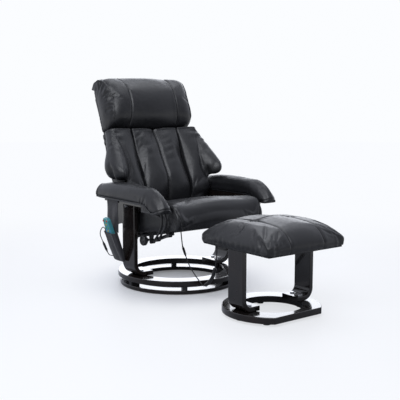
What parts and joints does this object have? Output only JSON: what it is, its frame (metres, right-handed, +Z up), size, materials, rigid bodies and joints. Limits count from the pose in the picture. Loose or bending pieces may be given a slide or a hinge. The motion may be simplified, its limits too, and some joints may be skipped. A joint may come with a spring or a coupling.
{
  "type": "massage chair",
  "caption": "Swivel massage recliner with padded arms, wings and head pillow on a bent-wood ring base, with a matching footstool and a wired remote in a side pouch.",
  "frame": {"origin": "on the floor, under the middle of the swivel", "axes": "+Z up, the chair faces -Y, the sitter's right is -X"},
  "size_m": [0.7358, 1.344, 1.0137],
  "materials": {
    "lacquered_wood": "black-brown stain under high-gloss lacquer",
    "plywood": "bare plywood with a sanded edge",
    "black_upholstery": "black polyurethane-coated cloth over foam, soft semi-gloss with a fine leather grain",
    "black_shell": "black moulded plastic",
    "black_steel": "black powder coat",
    "plain_steel": "zinc-plated steel",
    "guide_plastic": "black nylon",
    "motor_case": "moulded plastic",
    "pouch_cloth": "black coated cloth, doubled",
    "handset_case": "blue-green moulded plastic, satin",
    "red_key": "glossy",
    "yellow_key": "glossy",
    "green_key": "glossy",
    "lead_jacket": "matt black jacket",
    "floor_felt": "dark felt and rubber"
  },
  "bodies": {
    "stand": {"floor_ring": "lacquered_wood", "guide_blocks": "guide_plastic", "track_balls": "plain_steel", "glides": "floor_felt", "stool_ring": "lacquered_wood", "stool_leg_right": "lacquered_wood", "stool_leg_left": "lacquered_wood", "stool_bolts": "plain_steel", "stool_brackets": "black_steel", "stool_board": "plywood", "stool_cushion": "black_upholstery", "stool_motor": "motor_case", "stool_socket": "black_shell", "link_lead_middle": "lead_jacket", "link_sleeve": "lead_jacket", "link_lead_lower": "lead_jacket"},
    "chair": {"swivel_ring": "lacquered_wood", "track_ring": "plain_steel", "leg_right": "lacquered_wood", "leg_left": "lacquered_wood", "leg_bolts": "plain_steel", "side_plate_right": "black_steel", "side_plate_left": "black_steel", "hinge_pins": "plain_steel", "arm_board_right": "plywood", "arm_board_left": "plywood", "arm_pad_right": "black_upholstery", "arm_pad_left": "black_upholstery", "arm_stay_right": "black_steel", "arm_stay_left": "black_steel", "stay_struts": "black_steel", "lock_clamp": "black_steel", "seat_board": "plywood", "seat_motors": "motor_case", "seat_frame": "black_steel", "seat_cushion": "black_upholstery", "control_box": "black_shell", "remote_pouch": "pouch_cloth", "remote_lead_upper": "lead_jacket", "remote_connector": "black_shell", "remote_lead_lower": "lead_jacket", "link_lead_upper": "lead_jacket", "link_connector": "black_shell"},
    "back": {"back_frame": "black_steel", "back_cover": "black_shell", "back_board": "plywood", "back_cushion": "black_upholstery", "back_motors": "motor_case", "wing_right": "black_upholstery", "wing_left": "black_upholstery", "head_pillow": "black_upholstery"},
    "knob": {"lock_knob": "black_shell"},
    "remote": {"handset": "handset_case"},
    "key_1": {"button_1": "red_key"},
    "key_2": {"button_2": "red_key"},
    "key_3": {"button_3": "yellow_key"},
    "key_4": {"button_4": "green_key"},
    "key_5": {"button_5": "green_key"},
    "key_6": {"button_6": "yellow_key"}
  },
  "joints": [
    {"name": "swivel", "type": "hinge", "parent": "stand", "child": "chair", "pos_m": [0, 0, 0.043], "axis": [0, 0, 1], "continuous": true, "deforming": ["link_lead_middle"]},
    {"name": "recline", "type": "hinge", "parent": "chair", "child": "back", "pos_m": [0, 0.175, 0.3], "axis": [-1, 0, 0], "range_deg": [0, 35]},
    {"name": "knob_turn", "type": "hinge", "parent": "chair", "child": "knob", "pos_m": [-0.26, -0.108, 0.251], "axis": [-1, 0, 0], "range_deg": [0, 270]},
    {"name": "handset_slide", "type": "slide", "parent": "chair", "child": "remote", "axis": [-0.3256, 0, 0.9455], "range_m": [0, 0.065], "deforming": ["remote_lead_upper"]},
    {"name": "button_press_1", "type": "slide", "parent": "remote", "child": "key_1", "axis": [0.9455, 0, 0.3256], "range_m": [0, 0.001], "stiffness_N_per_m": 400, "springref_m": -0.001},
    {"name": "button_press_2", "type": "slide", "parent": "remote", "child": "key_2", "axis": [0.9455, 0, 0.3256], "range_m": [0, 0.001], "stiffness_N_per_m": 400, "springref_m": -0.001},
    {"name": "button_press_3", "type": "slide", "parent": "remote", "child": "key_3", "axis": [0.9455, 0, 0.3256], "range_m": [0, 0.001], "stiffness_N_per_m": 400, "springref_m": -0.001},
    {"name": "button_press_4", "type": "slide", "parent": "remote", "child": "key_4", "axis": [0.9455, 0, 0.3256], "range_m": [0, 0.001], "stiffness_N_per_m": 400, "springref_m": -0.001},
    {"name": "button_press_5", "type": "slide", "parent": "remote", "child": "key_5", "axis": [0.9455, 0, 0.3256], "range_m": [0, 0.001], "stiffness_N_per_m": 400, "springref_m": -0.001},
    {"name": "button_press_6", "type": "slide", "parent": "remote", "child": "key_6", "axis": [0.9455, 0, 0.3256], "range_m": [0, 0.001], "stiffness_N_per_m": 400, "springref_m": -0.001}
  ]
}
